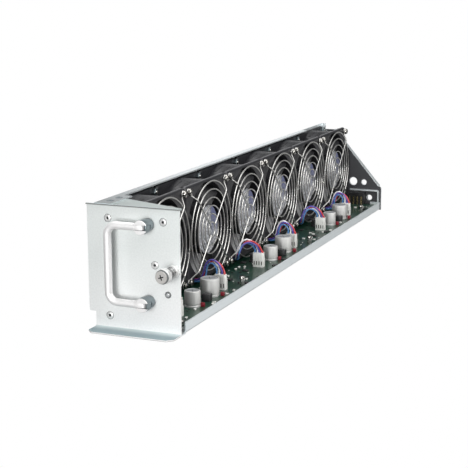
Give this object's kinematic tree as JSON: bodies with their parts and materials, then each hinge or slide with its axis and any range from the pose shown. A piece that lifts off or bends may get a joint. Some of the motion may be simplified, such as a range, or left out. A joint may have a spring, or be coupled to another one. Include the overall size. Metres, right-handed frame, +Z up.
{
  "type": "fan tray",
  "caption": "Slide-in tray with a row of guarded axial fans on one wall, a circuit board on the floor, a folding handle and a captive screw.",
  "frame": {"origin": "centre of the floor's underside", "axes": "+Y along the tray from the front panel to the rear plate, +Z up, +X from the fan wall to the open side"},
  "size_m": [0.0842, 0.612, 0.1045],
  "materials": {
    "zinc_plate": "zinc-plated sheet, fine satin",
    "rivet_steel": "plain rivet heads",
    "turned_steel": "turned and plated",
    "polished_steel": "bright drawn rod",
    "spring_steel": "drawn wire",
    "light_pipe": "clear smoked lens",
    "black_sheet": "insulating sheet",
    "black_housing": "moulded connector body",
    "contact_metal": "plated contacts",
    "board_green": "solder-masked laminate",
    "screw_steel": "plated screws",
    "can_aluminium": "bare can",
    "component_black": "moulded body",
    "white_nylon": "natural nylon",
    "lead_insulation": "stranded lead insulation",
    "bearing_bronze": "sintered bronze",
    "winding_copper": "wound copper on laminations",
    "fan_black": "moulded frame",
    "impeller_black": "moulded impeller",
    "guard_wire": "nickel-plated wire"
  },
  "bodies": {
    "tray": {"bearings": "bearing_bronze", "blind_rivets": "rivet_steel", "board_parts": "component_black", "board_screws": "screw_steel", "board_spacers": "turned_steel", "captive_bush": "turned_steel", "circuit_board": "board_green", "connector_contacts": "contact_metal", "connector_hood": "zinc_plate", "fan_frame_1": "fan_black", "fan_frame_2": "fan_black", "fan_frame_3": "fan_black", "fan_frame_4": "fan_black", "fan_frame_5": "fan_black", "fan_frame_6": "fan_black", "fan_headers": "white_nylon", "fan_leads": "lead_insulation", "fan_plugs": "white_nylon", "front_bracket": "zinc_plate", "front_panel": "zinc_plate", "guard_screws": "screw_steel", "handle_ferrules": "turned_steel", "handle_pins": "turned_steel", "large_capacitors": "can_aluminium", "rear_connector": "black_housing", "rear_insulator": "black_sheet", "rear_plate": "zinc_plate", "small_capacitors": "can_aluminium", "stators": "winding_copper", "status_light": "light_pipe", "tray_chassis": "zinc_plate", "wall_nuts": "screw_steel", "wall_screws": "screw_steel", "wire_guard_1": "guard_wire", "wire_guard_2": "guard_wire", "wire_guard_3": "guard_wire", "wire_guard_4": "guard_wire", "wire_guard_5": "guard_wire", "wire_guard_6": "guard_wire"},
    "rotor_1": {"impeller_1": "impeller_black", "rotor_shaft_1": "turned_steel"},
    "rotor_2": {"impeller_2": "impeller_black", "rotor_shaft_2": "turned_steel"},
    "rotor_3": {"impeller_3": "impeller_black", "rotor_shaft_3": "turned_steel"},
    "rotor_4": {"impeller_4": "impeller_black", "rotor_shaft_4": "turned_steel"},
    "rotor_5": {"impeller_5": "impeller_black", "rotor_shaft_5": "turned_steel"},
    "rotor_6": {"impeller_6": "impeller_black", "rotor_shaft_6": "turned_steel"},
    "bow_handle": {"handle": "polished_steel"},
    "screw_slider": {"captive_spring": "spring_steel"},
    "screw": {"captive_screw": "turned_steel"}
  },
  "joints": [
    {"name": "rotor_1_spin", "type": "hinge", "parent": "tray", "child": "rotor_1", "pos_m": [-0.0213, -0.23175, 0.0553], "axis": [1, 0, 0], "continuous": true},
    {"name": "rotor_2_spin", "type": "hinge", "parent": "tray", "child": "rotor_2", "pos_m": [-0.0213, -0.13825, 0.0553], "axis": [1, 0, 0], "continuous": true},
    {"name": "rotor_3_spin", "type": "hinge", "parent": "tray", "child": "rotor_3", "pos_m": [-0.0213, -0.04475, 0.0553], "axis": [1, 0, 0], "continuous": true},
    {"name": "rotor_4_spin", "type": "hinge", "parent": "tray", "child": "rotor_4", "pos_m": [-0.0213, 0.04875, 0.0553], "axis": [1, 0, 0], "continuous": true},
    {"name": "rotor_5_spin", "type": "hinge", "parent": "tray", "child": "rotor_5", "pos_m": [-0.0213, 0.14225, 0.0553], "axis": [1, 0, 0], "continuous": true},
    {"name": "rotor_6_spin", "type": "hinge", "parent": "tray", "child": "rotor_6", "pos_m": [-0.0213, 0.23575, 0.0553], "axis": [1, 0, 0], "continuous": true},
    {"name": "handle_fold", "type": "hinge", "parent": "tray", "child": "bow_handle", "pos_m": [0.011, -0.302, 0.0582], "axis": [0, 0, 1], "range_deg": [0, 90]},
    {"name": "screw_push", "type": "slide", "parent": "tray", "child": "screw_slider", "axis": [0, 1, 0], "range_m": [0, 0.007], "stiffness_N_per_m": 600, "springref_m": -0.002, "deforming": ["captive_spring"]},
    {"name": "screw_turn", "type": "hinge", "parent": "screw_slider", "child": "screw", "pos_m": [0.033, -0.304, 0.0537], "axis": [0, 1, 0], "continuous": true}
  ]
}
